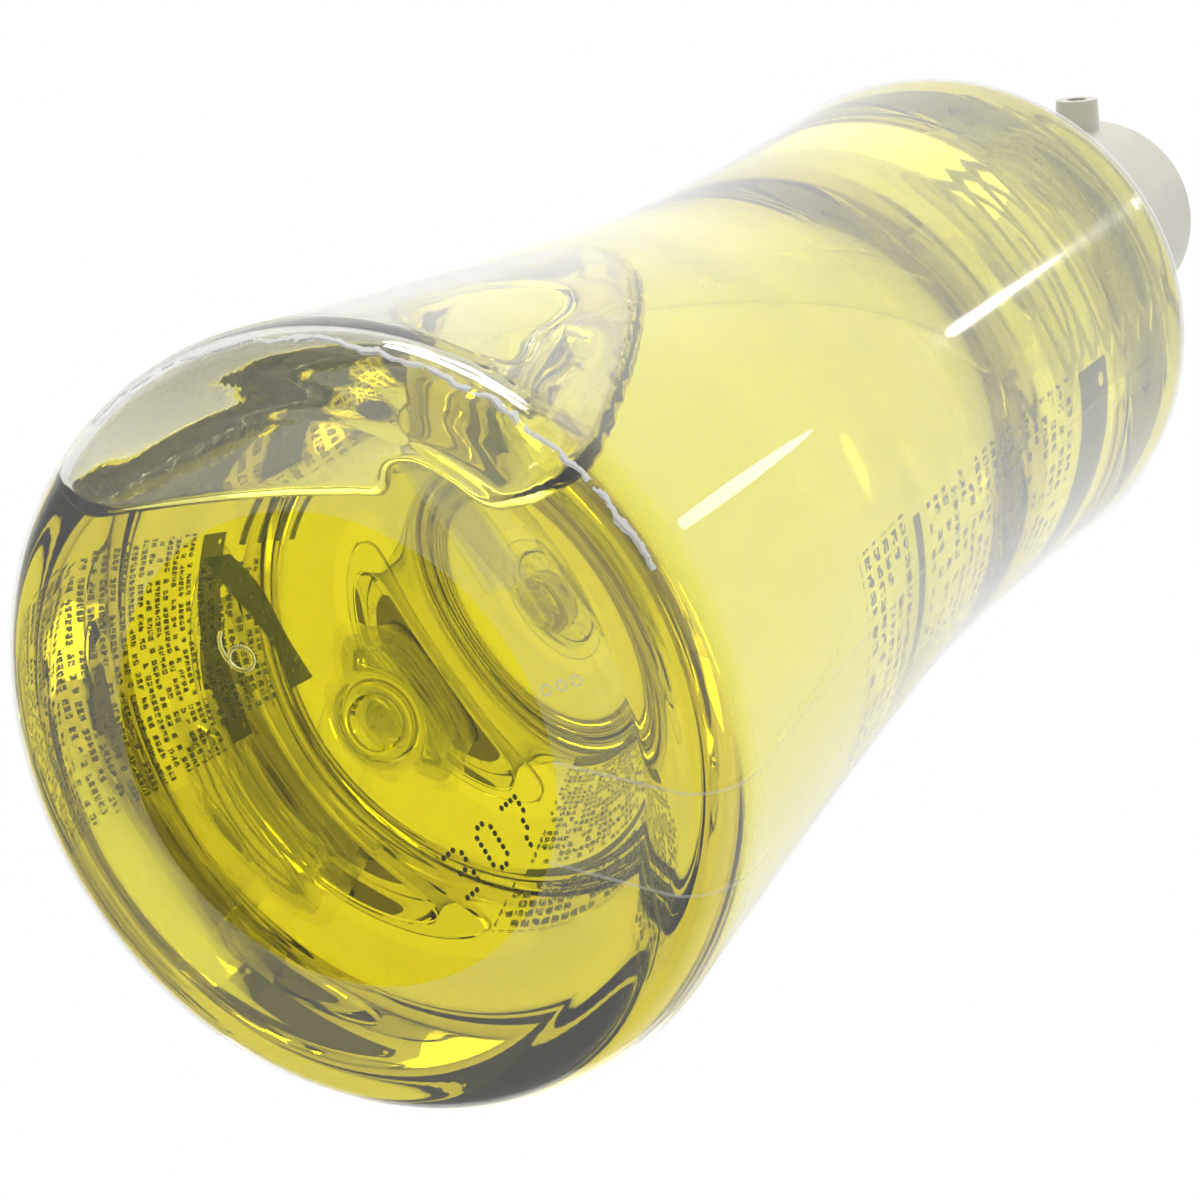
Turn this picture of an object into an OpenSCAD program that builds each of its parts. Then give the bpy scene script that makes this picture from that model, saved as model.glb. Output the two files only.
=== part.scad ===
// Hair oil bottle: a waisted clear bottle in a shrink film, with a lotion pump and a bent dip tube.
// Millimetres. Z runs up the bottle's axis from the film it stands on, and the front label faces -Y.

/* [Bottle] */
// Radius of the bottle at the heel, under the film
base_r = 28.15; // [27:0.05:31]
// Radius at the waist
waist_r = 24.55; // [22:0.05:26]
// Radius at the shoulder's widest line
shoulder_r = 26.95; // [25.5:0.05:29]
// Radius of the ring that the bottle stands on
ring_r = 25.1; // [24.5:0.1:26]
// Width of the flat that the bottle stands on
ring_w = 1.6; // [1:0.1:2.5]
// Height of the rounded heel
heel_h = 5; // [4:0.5:8]
// Height of the waist above the standing ring
waist_z = 70; // [62:1:78]
// Height of the shoulder's widest line above the standing ring
shoulder_z = 124; // [118:1:130]
// Height of the dome from the shoulder to the neck
dome_h = 12.3; // [11:0.1:15]
// Depth of the push-up in the base
pushup_h = 6.2; // [4:0.1:8]
// Thickness of the side wall
wall = 0.6; // [0.4:0.05:1]
// Thickness of the base
base_wall = 1.1; // [0.8:0.1:1.8]

/* [Neck] */
// Outer radius of the neck, without its thread
neck_r = 10.8; // [10.6:0.05:11.2]
// Radius of the neck's bore
bore_r = 9; // [8.4:0.1:9.4]
// Height of the neck above the dome
neck_h = 16.5; // [14.5:0.5:20]
// Radius of the transfer bead under the closure
bead_r = 13.4; // [12.5:0.1:14]
// Thickness of the transfer bead
bead_t = 1.4; // [1:0.1:1.8]
// Height of the bead's underside above the dome
bead_z = 0.9; // [0.6:0.1:1.2]

/* [Film and labels] */
// Thickness of the shrink film
film_t = 0.15; // [0.1:0.01:0.25]
// Radius of the film's opening under the base
film_open_r = 16.9; // [14:0.1:20]
// Radius at which the film ends on the dome
film_top_r = 16; // [14.5:0.5:22]
// Thickness of the clear labels
label_t = 0.1; // [0.06:0.01:0.16]
// Height of the labels' lower edge above the standing ring
label_z = 27; // [20:1:34]
// Height of the labels
label_h = 81; // [60:1:86]
// Width of each label round the bottle, in degrees
label_a = 110; // [90:1:150]
// Radius of the film's vent holes
vent_r = 0.35; // [0.25:0.05:0.5]
// Place of the vent holes round the base, in degrees from the front
vent_at = 122; // [100:1:130]

/* [Contents] */
// Place of the trapped air round the bottle, in degrees from the front
air_at = 48; // [30:1:60]
// Distance of the air's flat boundary from the axis, at the standing ring
air_d = 16; // [15:0.5:18]
// Lean of the air's flat boundary away from the axis, in degrees
air_lean = 8; // [7:0.5:12]

/* [Closure] */
// Outer radius of the closure, without its ribs
cap_r = 13.7; // [13.4:0.1:14.5]
// Thickness of the closure's skirt
cap_wall = 1.5; // [1.2:0.1:1.6]
// Thickness of the closure's top
cap_top = 1.6; // [1.2:0.1:2.2]
// Number of grip ribs round the closure
ribs = 48; // [24:4:60]
// Thickness of the gasket
gasket_t = 0.8; // [0.6:0.1:1.5]

/* [Pump] */
// How far the head is pressed down
stroke = 8; // [6:0.5:9]
// Outer radius of the pump's cylinder
housing_r = 6.2; // [5.9:0.1:6.8]
// Wall of the pump's cylinder
housing_wall = 0.8; // [0.6:0.05:1]
// Length of the pump's cylinder under its flange
housing_len = 46; // [44:1:50]
// Thickness of the housing's flange
flange_t = 1.2; // [1:0.1:1.8]
// Outer radius of the chaplet's collar
collar_r = 10; // [9.6:0.1:10.4]
// Height of the chaplet's collar above the closure
collar_h = 10; // [9.5:0.5:11]
// Outer radius of the stem
stem_r = 3.2; // [3:0.1:3.4]
// Radius of the stem's bore
stem_bore_r = 1.6; // [1.4:0.1:1.8]
// Height of the piston
piston_h = 8; // [7:0.5:9]
// Radius of the valve balls
ball_r = 1.9; // [1.8:0.05:2.1]
// Diameter of the spring's wire
wire_d = 0.8; // [0.6:0.05:0.9]
// Number of turns in the spring
turns = 7; // [5:1:8]

/* [Head] */
// Radius of the head at its rim
head_r = 13; // [12.4:0.1:14.5]
// Height of the head
head_h = 26; // [23:0.5:30]
// Thickness of the head's skirt
head_wall = 1.4; // [1.1:0.1:1.8]
// Distance of the spout's tip from the axis
spout_reach = 16.5; // [15.5:0.5:22]
// Way the spout points at rest, in degrees from the front
spout_at = 52; // [0:1:359]
// Radius of the spout at its tip
spout_r = 2.6; // [2.3:0.1:3]
// Radius of the channel through the spout
channel_r = 1.2; // [0.8:0.1:1.4]

/* [Dip tube] */
// Outer radius of the dip tube
tube_r = 2.4; // [2.2:0.05:2.5]
// Wall of the dip tube
tube_wall = 0.7; // [0.5:0.05:0.9]
// Radius of the tube's bends at its centre line
bend_r = 8; // [7:0.5:9]

/* [Hidden] */
$fn = 96;

// Clearances: lay between pieces that touch, run between pieces that slide or turn
lay = 0.05;
run = 0.06;

// The film lies outside the labels, so the bottle stands a little above the floor
film_in = lay + label_t + lay;
lift = film_in + film_t;

// Powers that shape the bottle's flare below and above its waist, and its push-up
low_flare = 1.35;
high_flare = 1.9;
pushup_flare = 2.4;

// Heights in the part's frame, up through the neck, the closure and the head
dome_top = lift + shoulder_z + dome_h;
bead_low = dome_top + bead_z;
bead_top = bead_low + bead_t;
neck_top = dome_top + neck_h;
flange_z = neck_top + gasket_t;
flange_top = flange_z + flange_t;
cap_under = flange_top + lay;
cap_z = cap_under + cap_top;
cap_low = bead_top + 0.5;
collar_z = cap_z + lay;
collar_top = collar_z + collar_h;
head_z = collar_z + stroke + 0.4;
head_top = head_z + head_h;

// The pump's bore, from the flange down to the spigot that holds the tube
flange_r = neck_r + 0.5;
housing_bore = housing_r - housing_wall;
housing_low = flange_top - housing_len;
spigot_r = tube_r + lay + 0.9;
spigot_h = 9;
cone_h = 4;
spigot_top = housing_low - cone_h;
spigot_low = spigot_top - spigot_h;
seat_r = 0.65 * ball_r;
seat_z = spigot_top + 1.2;
seat_top = seat_z + housing_bore - seat_r;
cage_z = seat_top + lay;
cage_h = 2;
cage_top = cage_z + cage_h;

// The moving pieces, from the piston up to the head
plug_h = 7;
piston_top = flange_top - plug_h - lay;
piston_z = piston_top - piston_h;
stem_z = piston_z + 2;
stem_top = head_top - 9.5;
spout_z = head_top - 7.5;
sleeve_r = stem_r + 1.7;
web_top = flange_top + 4;
sleeve_z = web_top + stroke + 0.6;
tower_r = collar_r - 1.2;
pocket_r = ball_r + 0.3;
pocket_h = 2 * ball_r + 1;

// The spring, closed at both ends
spring_r = housing_bore - 0.7 - wire_d / 2;
spring_z = cage_top + wire_d / 2 + lay;
spring_top = piston_z - wire_d / 2 - lay;
spring_steps = 12;
spring_sides = 8;
closed_turns = 0.75;

// The tube's facets, and a direction that no stretch of it follows
tube_sides = 20;
tube_steps = 9;
tube_side = [0.9, 0.44, 0];

// The tube's route: down from the spigot, across to the heel and over the push-up
foot_r = 16.5;
tube_route = [[0, 0, spigot_top - lay],
              [0, 0, spigot_low - 4],
              around(base_r - wall - 1.6, 63.4, lift + base_wall + tube_r + 2),
              around(foot_r, 98.4, lift + pushup(foot_r) + base_wall + 1.12 * tube_r + 0.5)];

function around(r, a, z) = [r * sin(a), -r * cos(a), z];
function unit(v) = v / norm(v);
function reversed(list) = [for (i = [len(list) - 1:-1:0]) list[i]];
function pushup(r) = pushup_h * (1 - pow(r / (ring_r - ring_w), pushup_flare));
function side_r(z) =
    z < waist_z
    ? waist_r + (base_r - waist_r) * pow((waist_z - z) / (waist_z - heel_h), low_flare)
    : waist_r + (shoulder_r - waist_r) * pow((z - waist_z) / (shoulder_z - waist_z), high_flare);

// Stretches of the bottle's outline, above the standing ring, each moved outwards by d
function base_line(rise) =
    [for (i = [0:8]) let (r = (ring_r - ring_w) * i / 8) [r, pushup(r) + rise]];
function heel_line(d, drop) =
    [for (a = [-90:15:-15])
        [ring_r + (base_r - ring_r + d) * cos(a), heel_h + (heel_h + drop) * sin(a)]];
function side_line(d, z0, z1, steps = 22) =
    [for (i = [0:steps]) let (z = z0 + (z1 - z0) * i / steps) [side_r(z) + d, z]];
function dome_line(d, end = 90) =
    [for (i = [1:9]) let (a = end * i / 9)
        [neck_r + (shoulder_r - neck_r + d) * cos(a), shoulder_z + (dome_h + d) * sin(a)]];

// A ring or a washer between two heights
module ring(outer, inner, z0, z1) {
    translate([0, 0, z0]) difference() {
        cylinder(r = outer, h = z1 - z0);
        translate([0, 0, -1]) cylinder(r = inner, h = z1 - z0 + 2);
    }
}

// A band of the bottle's side between two offsets and two heights, centred on the front
module side_band(d0, d1, z0, z1, angle) {
    rotate([0, 0, -90 - angle / 2]) rotate_extrude(angle = angle)
        polygon(concat(side_line(d1, z0, z1, 14), reversed(side_line(d0, z0, z1, 14))));
}

// A point, then its direction, for each ring of a tube swept along a route with round bends
function bend_rings(a, b, c, bend, steps) =
    let (y = unit(b - a), d = unit(c - b), turn = acos(y * d), n = unit(d - (d * y) * y),
         centre = b - bend * tan(turn / 2) * y + bend * n)
    [for (i = [0:steps]) let (t = turn * i / steps)
        [centre - bend * cos(t) * n + bend * sin(t) * y, cos(t) * y + sin(t) * n]];
function route_rings(route, bend, steps) =
    let (last = len(route) - 1)
    concat([[route[0], unit(route[1] - route[0])]],
           [for (i = [1:last - 1]) each bend_rings(route[i - 1], route[i], route[i + 1], bend, steps)],
           [[route[last], unit(route[last] - route[last - 1])]]);
function ring_points(ring, r, sides) =
    let (x = unit(cross(tube_side, ring[1])), y = cross(ring[1], x))
    [for (s = [0:sides - 1]) let (a = 360 * s / sides) ring[0] + r * cos(a) * x + r * sin(a) * y];
// The wall between one ring and the next, whose points start at number from
function ring_walls(count, n, from = 0) =
    [for (k = [0:count - 2]) for (s = [0:n - 1]) let (a = from + k * n + s, b = from + k * n + (s + 1) % n)
        [a, a + n, b + n, b]];

// A solid rod whose flats stand d outside the dip tube
module tube_channel(d) {
    n = tube_sides;
    rings = route_rings(tube_route, bend_r, tube_steps);
    count = len(rings);
    end = rings[count - 1];
    all = concat([for (i = [0:count - 2]) rings[i]], [[end[0] + d * end[1], end[1]]]);
    caps = [[for (s = [0:n - 1]) s], [for (s = [n - 1:-1:0]) (count - 1) * n + s]];
    polyhedron(points = [for (g = all) each ring_points(g, (tube_r + d) / cos(180 / n), n)],
               faces = concat(ring_walls(count, n), caps), convexity = 10);
}

// The outside of the pump's cylinder below its flange, grown by d
module pump_core(d) {
    rotate_extrude()
        polygon([[0, spigot_low - d], [spigot_r + d, spigot_low - d], [spigot_r + d, spigot_top],
                 [housing_r + d, housing_low], [housing_r + d, flange_top], [0, flange_top]]);
}

module bottle() {
    neck = [[neck_r, shoulder_z + dome_h + neck_h],
            [bore_r, shoulder_z + dome_h + neck_h],
            [bore_r, shoulder_z + dome_h - wall]];
    outer = concat(base_line(0), heel_line(0, 0), side_line(0, heel_h, shoulder_z), dome_line(0));
    inner = concat(base_line(base_wall), heel_line(-wall, -base_wall),
                   side_line(-wall, heel_h, shoulder_z), dome_line(-wall));
    color([0.93, 0.95, 0.93, 0.35]) {
        translate([0, 0, lift]) rotate_extrude() polygon(concat(outer, neck, reversed(inner)));
        ring(bead_r, neck_r - 0.4, bead_low, bead_top);
    }
}

module oil() {
    d = wall + lay;
    outline = concat(base_line(base_wall + lay), heel_line(-d, -base_wall - lay),
                     side_line(-d, heel_h, shoulder_z), dome_line(-d),
                     [[bore_r - lay, shoulder_z + dome_h - d],
                      [bore_r - lay, shoulder_z + dome_h + neck_h - 0.3],
                      [0, shoulder_z + dome_h + neck_h - 0.3]]);
    color([0.86, 0.8, 0.05, 0.7]) difference() {
        translate([0, 0, lift]) rotate_extrude() polygon(outline);
        trapped_air();
        pump_core(lay);
        tube_channel(lay);
    }
}

// The trapped air lies behind one flat face of the oil, low on one side
module trapped_air() {
    rotate([0, 0, air_at]) translate([0, -air_d, lift]) rotate([air_lean, 0, 0])
        translate([-base_r, -base_r, -heel_h]) cube([2 * base_r, base_r, waist_z + 2 * heel_h]);
}

module label() {
    translate([0, 0, lift]) side_band(lay, lay + label_t, label_z, label_z + label_h, label_a);
}

module front_label() {
    color([0.75, 0.8, 0.7, 0.6]) label();
}

module back_label() {
    color([0.6, 0.66, 0.7, 0.6]) rotate([0, 0, 180]) label();
}

module shrink_film() {
    d = film_in;
    e = d + film_t;
    end = acos((film_top_r - neck_r) / (shoulder_r - neck_r + d));
    outside = concat([[film_open_r, -e]], heel_line(e, e), side_line(e, heel_h, shoulder_z),
                     dome_line(e, end));
    inside = concat([[film_open_r, -d]], heel_line(d, d), side_line(d, heel_h, shoulder_z),
                    dome_line(d, end));
    color([0.9, 0.9, 0.86, 0.3]) translate([0, 0, lift]) difference() {
        rotate_extrude() polygon(concat(outside, reversed(inside)));
        for (i = [0:2]) rotate([0, 0, vent_at]) translate([0, -film_open_r - 1 - 3.3 * vent_r * i, -lift - 1])
            cylinder(r = vent_r, h = 2, $fn = 24);
    }
}

module closure() {
    chamfer = 0.6;
    hole_r = tower_r + run;
    rib_r = 0.45;
    color([0.93, 0.93, 0.9]) {
        rotate_extrude() polygon([[cap_r - cap_wall, cap_low], [cap_r, cap_low], [cap_r, cap_z - chamfer],
                                  [cap_r - chamfer, cap_z], [hole_r, cap_z], [hole_r, cap_under],
                                  [cap_r - cap_wall, cap_under]]);
        for (i = [0:ribs - 1]) rotate([0, 0, i * 360 / ribs]) translate([cap_r, 0, cap_low])
            cylinder(r = rib_r, h = cap_z - cap_low - 2 * chamfer, $fn = 24);
    }
}

module gasket() {
    color([0.85, 0.85, 0.82]) ring(neck_r + 0.2, housing_r + 0.3, neck_top, flange_z);
}

module pump_housing() {
    color([0.9, 0.91, 0.9]) rotate_extrude()
        polygon([[housing_bore, flange_top], [flange_r, flange_top], [flange_r, flange_z],
                 [housing_r, flange_z], [housing_r, housing_low], [spigot_r, spigot_top],
                 [spigot_r, spigot_low], [tube_r + lay, spigot_low], [tube_r + lay, spigot_top],
                 [seat_r, spigot_top], [seat_r, seat_z], [housing_bore, seat_top]]);
}

module chaplet() {
    bore = stem_r + run;
    plug_r = housing_bore - lay;
    plug_low = flange_top - plug_h;
    web_low = flange_top + lay;
    color([0.95, 0.95, 0.93]) rotate_extrude()
        polygon([[bore, plug_low], [plug_r, plug_low], [plug_r, web_low], [tower_r, web_low],
                 [tower_r, collar_z], [collar_r, collar_z], [collar_r, collar_top - 0.5],
                 [collar_r - 0.5, collar_top], [tower_r - 0.2, collar_top], [tower_r - 0.2, web_top],
                 [bore, web_top]]);
}

module valve_cage() {
    bar_w = 1.6;
    outer = housing_bore - lay;
    color([0.9, 0.9, 0.9]) {
        ring(outer, spring_r - wire_d, cage_z, cage_top);
        intersection() {
            ring(outer, 0.4, cage_z, cage_top);
            for (a = [0, 60, 120]) rotate([0, 0, a])
                translate([-outer, -bar_w / 2, cage_z]) cube([2 * outer, bar_w, cage_h / 2]);
        }
    }
}

// A ball at rest on a seat of 45 degrees that starts at height z and radius seat_r
module seated_ball(z) {
    color([0.75, 0.77, 0.8]) translate([0, 0, z - seat_r + sqrt(2) * (ball_r + lay)]) sphere(r = ball_r);
}

module inlet_ball() {
    seated_ball(seat_z);
}

module discharge_ball() {
    seated_ball(stem_top - pocket_h);
}

module spring() {
    count = turns * spring_steps;
    rise = spring_top - spring_z;
    function climb(t) = min(1, max(0, (t - closed_turns) / (turns - 2 * closed_turns)));
    function wire_end(t) = max(0, closed_turns - t, t - turns + closed_turns) / closed_turns;
    // The closed turns lie a wire's width apart, one on the other
    function height(t) = spring_z + wire_d * min(t, closed_turns)
                         + (rise - 2 * wire_d * closed_turns) * climb(t)
                         + wire_d * max(0, t - turns + closed_turns);
    points = [for (i = [0:count]) for (s = [0:spring_sides - 1])
        let (t = i / spring_steps, a = 360 * t, b = 360 * s / spring_sides,
             r = spring_r + wire_d / 2 * cos(b))
        [r * cos(a), r * sin(a), height(t) + wire_d / 2 * sin(b)]];
    walls = [for (i = [0:count - 1]) for (s = [0:spring_sides - 1])
        let (n = (s + 1) % spring_sides, k = i * spring_sides)
        [k + s, k + n, k + spring_sides + n, k + spring_sides + s]];
    ends = [[for (s = [spring_sides - 1:-1:0]) s],
            [for (s = [0:spring_sides - 1]) count * spring_sides + s]];
    color([0.7, 0.72, 0.75]) polyhedron(points = points, faces = concat(walls, ends), convexity = 10);
}

module piston() {
    lip_r = housing_bore - run;
    lip_h = 1.6;
    waist = lip_r - 0.9;
    color([0.88, 0.9, 0.92]) rotate_extrude()
        polygon([[stem_bore_r, piston_z], [lip_r, piston_z], [lip_r, piston_z + lip_h],
                 [waist, piston_z + lip_h + 0.9], [waist, piston_top - lip_h - 0.9],
                 [lip_r, piston_top - lip_h], [lip_r, piston_top], [stem_r + run, piston_top],
                 [stem_r + run, stem_z], [stem_bore_r, stem_z]]);
}

module stem() {
    pocket_z = stem_top - pocket_h;
    color([0.94, 0.94, 0.92]) rotate_extrude()
        polygon([[stem_bore_r, stem_z + lay], [stem_r, stem_z + lay], [stem_r, stem_top],
                 [pocket_r, stem_top], [pocket_r, pocket_z + pocket_r - seat_r], [seat_r, pocket_z],
                 [seat_r, pocket_z - 1.5], [stem_bore_r, pocket_z - 2.5]]);
}

module pump_head() {
    taper = 0.6;
    dish = 1.3;
    roof = 1.6;
    round_r = 2.2;
    rim = [for (a = [0:15:90]) [head_r - round_r + round_r * cos(a), head_top - round_r + round_r * sin(a)]];
    bowl = [for (i = [1:6]) let (r = (head_r - round_r) * (1 - i / 6))
        [r, head_top - dish * (1 - pow(r / (head_r - round_r), 2))]];
    shell = concat([[head_r - taper, head_z]], rim, bowl,
                   [[0, head_top - dish - roof], [head_r - head_wall - round_r, head_top - dish - roof],
                    [head_r - head_wall, head_top - dish - roof - round_r],
                    [head_r - head_wall - taper, head_z]]);
    color([0.96, 0.96, 0.93]) rotate([0, 0, spout_at]) difference() {
        union() {
            rotate_extrude() polygon(shell);
            translate([0, 0, sleeve_z]) cylinder(r = sleeve_r, h = head_top - dish - roof / 2 - sleeve_z);
            translate([0, 0, spout_z]) rotate([90, 0, 0])
                cylinder(r1 = spout_r + 0.8, r2 = spout_r, h = spout_reach);
        }
        translate([0, 0, sleeve_z - 1]) cylinder(r = stem_r + lay, h = stem_top + lay - sleeve_z + 1);
        translate([0, 0, stem_top - 1]) cylinder(r = channel_r, h = spout_z - stem_top + 1);
        translate([0, 0, spout_z]) rotate([90, 0, 0]) cylinder(r = channel_r, h = spout_reach + 1);
    }
}

module dip_tube() {
    n = tube_sides;
    rings = route_rings(tube_route, bend_r, tube_steps);
    count = len(rings);
    inside = count * n;
    points = concat([for (g = rings) each ring_points(g, tube_r, n)],
                    [for (g = rings) each ring_points(g, tube_r - tube_wall, n)]);
    inner_walls = [for (f = ring_walls(count, n, inside)) reversed(f)];
    ends = [for (s = [0:n - 1]) let (a = s, b = (s + 1) % n, e = (count - 1) * n)
        each [[a, b, inside + b, inside + a], [e + b, e + a, inside + e + a, inside + e + b]]];
    color([0.93, 0.94, 0.88, 0.8])
        polyhedron(points = points, faces = concat(ring_walls(count, n), inner_walls, ends), convexity = 10);
}

bottle();
oil();
front_label();
back_label();
shrink_film();
closure();
gasket();
pump_housing();
chaplet();
valve_cage();
inlet_ball();
spring();
piston();
stem();
discharge_ball();
pump_head();
dip_tube();
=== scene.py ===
# %% [markdown]
# A clear, waisted bottle of yellow hair oil in a shrink film, seen from its base end. The pump, its valve
# and its tube come from the CAD frame. This lesson models what light does to the rest: a spun plastic wall,
# the oil with its trapped air, two printed clear labels and the film with its seam and wrinkles.
# Everything is in metres in the frame. Sizes are written in millimetres and multiplied by MM.

# %% Load the frame
import math

import bpy
from mathutils import Matrix, Vector


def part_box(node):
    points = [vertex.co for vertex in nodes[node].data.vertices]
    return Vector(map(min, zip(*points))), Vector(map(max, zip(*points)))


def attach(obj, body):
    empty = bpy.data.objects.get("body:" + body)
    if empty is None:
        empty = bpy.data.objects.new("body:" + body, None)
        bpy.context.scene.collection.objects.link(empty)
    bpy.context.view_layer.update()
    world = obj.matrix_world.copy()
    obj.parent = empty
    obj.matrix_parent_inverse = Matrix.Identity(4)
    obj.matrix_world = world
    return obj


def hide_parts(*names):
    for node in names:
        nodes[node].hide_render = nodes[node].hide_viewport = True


MM = 0.001
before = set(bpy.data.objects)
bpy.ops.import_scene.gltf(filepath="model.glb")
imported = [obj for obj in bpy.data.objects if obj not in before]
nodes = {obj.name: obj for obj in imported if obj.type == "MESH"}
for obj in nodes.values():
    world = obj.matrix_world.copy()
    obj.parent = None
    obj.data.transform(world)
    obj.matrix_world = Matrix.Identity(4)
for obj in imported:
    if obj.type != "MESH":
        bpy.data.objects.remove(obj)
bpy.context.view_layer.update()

# %% [markdown]
# The camera comes first, because it decides which details matter. The photograph looks up at the base
# from below and to the side, along the bottle, so the neck runs away to the upper right. Its place, its
# line of sight and its roll were fitted to the outline; the lens sees as much as a 75 mm lens does.

# %% Camera
CAMERA_PLACE = Vector((101.266, 32.138, -129.027)) * MM
LINE_OF_SIGHT = Vector((-0.51381, -0.15118, 0.84448))
TOP_OF_PICTURE = Vector((0.70521, -0.63498, 0.3154))
LENS = 75.0

ahead = LINE_OF_SIGHT.normalized()
right = ahead.cross(TOP_OF_PICTURE).normalized()
up = right.cross(ahead)
camera = bpy.data.objects.new("camera", bpy.data.cameras.new("camera"))
bpy.context.scene.collection.objects.link(camera)
camera.matrix_world = Matrix.Translation(CAMERA_PLACE) @ Matrix((right, up, -ahead)).transposed().to_4x4()
camera.data.lens = LENS
camera.data.sensor_width = 36.0
camera.data.clip_start = 0.01
bpy.context.scene.camera = camera

# %% [markdown]
# The bottle was blown into a mould, so it is round everywhere and its wall is even. Its outline is a few
# named sizes and two flares. They are the part's own, so the smooth wall spun here lies on the CAD wall.
# All heights below are above the ring that the bottle stands on, and LIFT puts that ring on the film.

# %% The bottle's outline
BASE_R, WAIST_R, SHOULDER_R = 28.15, 24.55, 26.95
RING_R, RING_W = 25.1, 1.6
HEEL_H, WAIST_Z, SHOULDER_Z, DOME_H = 5.0, 70.0, 124.0, 12.3
PUSHUP_H, BASE_WALL, WALL = 6.2, 1.1, 0.6
NECK_R, BORE_R, NECK_H = 10.8, 9.0, 16.5
BEAD_R, BEAD_Z, BEAD_T = 13.4, 0.9, 1.4
LOW_FLARE, HIGH_FLARE, PUSHUP_FLARE = 1.35, 1.9, 2.4
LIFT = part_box("bottle")[0].z / MM
DOME_TOP = SHOULDER_Z + DOME_H
NECK_TOP = DOME_TOP + NECK_H


def side_r(z):
    """Radius of the side wall at a height between the heel and the shoulder."""
    if z < WAIST_Z:
        return WAIST_R + (BASE_R - WAIST_R) * ((WAIST_Z - z) / (WAIST_Z - HEEL_H)) ** LOW_FLARE
    return WAIST_R + (SHOULDER_R - WAIST_R) * ((z - WAIST_Z) / (SHOULDER_Z - WAIST_Z)) ** HIGH_FLARE


def pushup(r):
    """Height of the base's push-up at a distance from the axis."""
    return PUSHUP_H * (1 - (r / (RING_R - RING_W)) ** PUSHUP_FLARE)


def stretch(start, end, steps):
    """Even steps from one value to another, both ends included."""
    return [start + (end - start) * i / steps for i in range(steps + 1)]


def base_line(rise, start=0.0, steps=24):
    return [(r, pushup(r) + rise) for r in stretch(start, RING_R - RING_W, steps)]


def heel_line(out, drop, steps=14):
    """The rounded heel, moved out by one distance and down by another."""
    turns = [math.radians(a) for a in stretch(-90, -6, steps)]
    return [(RING_R + (BASE_R - RING_R + out) * math.cos(t), HEEL_H + (HEEL_H + drop) * math.sin(t))
            for t in turns]


def side_line(out, low=HEEL_H, high=SHOULDER_Z, steps=60):
    return [(side_r(z) + out, z) for z in stretch(low, high, steps)]


def dome_line(out, end=90.0, steps=20):
    """The dome from the shoulder inwards, up to an angle that is 90 degrees at the neck."""
    turns = [math.radians(a) for a in stretch(0, end, steps)][1:]
    return [(NECK_R + (SHOULDER_R - NECK_R + out) * math.cos(t), SHOULDER_Z + (DOME_H + out) * math.sin(t))
            for t in turns]


print("waist", WAIST_R, "mm, neck top at", round(NECK_TOP + LIFT, 2), "mm")

# %% [markdown]
# A lathe makes every round piece. One vertex is what is left of a plane after its corners merge. It is
# extruded from point to point of the outline, and the finished line is spun round the axis. That is how a
# turner thinks, and it gives even quads, which smooth glass needs: a facet would show as a band of light.

# %% A lathe
TURN_STEPS = 144


def clear_selection():
    """Leave edit mode and select nothing, because an operator works on all that is selected."""
    if bpy.context.mode != "OBJECT":
        bpy.ops.object.mode_set(mode="OBJECT")
    bpy.ops.object.select_all(action="DESELECT")


def only(piece):
    """Select one piece and make it the active one."""
    clear_selection()
    piece.select_set(True)
    bpy.context.view_layer.objects.active = piece
    return piece


def draw_line(name, points):
    """A new mesh with one open line through points, each (x, y, z) in millimetres; left in edit mode."""
    clear_selection()
    bpy.ops.mesh.primitive_plane_add(size=MM)
    piece = bpy.context.object
    piece.name = piece.data.name = name
    bpy.ops.object.mode_set(mode="EDIT")
    bpy.ops.mesh.merge(type="CENTER")
    bpy.ops.transform.translate(value=Vector(points[0]) * MM)
    for here, there in zip(points, points[1:]):
        step = (Vector(there) - Vector(here)) * MM
        bpy.ops.mesh.extrude_region_move(TRANSFORM_OT_translate={"value": step})
    return piece


def lathe(name, outline, angle=360.0, steps=TURN_STEPS, start=-90.0):
    """Spins an outline of (radius, height) pairs, heights above the standing ring, round the axis."""
    turn = math.radians(start)
    points = [(r * math.cos(turn), r * math.sin(turn), z + LIFT) for r, z in outline]
    piece = draw_line(name, points)
    bpy.ops.mesh.select_all(action="SELECT")
    bpy.ops.mesh.spin(steps=steps, angle=math.radians(angle), center=(0, 0, 0), axis=(0, 0, -1))
    tidy_mesh()
    bpy.ops.object.mode_set(mode="OBJECT")
    return piece


def tidy_mesh(gap=0.002):
    """Close seams and poles, then turn every face outwards. In edit mode, gap in millimetres."""
    bpy.ops.mesh.select_all(action="SELECT")
    bpy.ops.mesh.remove_doubles(threshold=gap * MM)
    bpy.ops.mesh.normals_make_consistent(inside=False)


def smooth(piece, angle=35.0):
    """Smooth shading, with edges sharper than angle kept."""
    only(piece)
    bpy.ops.object.shade_smooth_by_angle(angle=math.radians(angle))
    return piece


def dress(piece, *materials):
    """Give a piece its materials, in the order of its faces' slots."""
    piece.data.materials.clear()
    for material in materials:
        piece.data.materials.append(material)
    return piece


def join(first, *others):
    """Make several pieces one mesh, which keeps the first one's name."""
    only(first)
    for other in others:
        other.select_set(True)
    bpy.ops.object.join()
    return first


# %% [markdown]
# Materials are written as sums. A Value wraps one socket, and each operator adds its Math node, so that
# a mask reads as a formula. Any other node comes from Recipe.node, which sets the node's own choices first
# and then its sockets.

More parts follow.
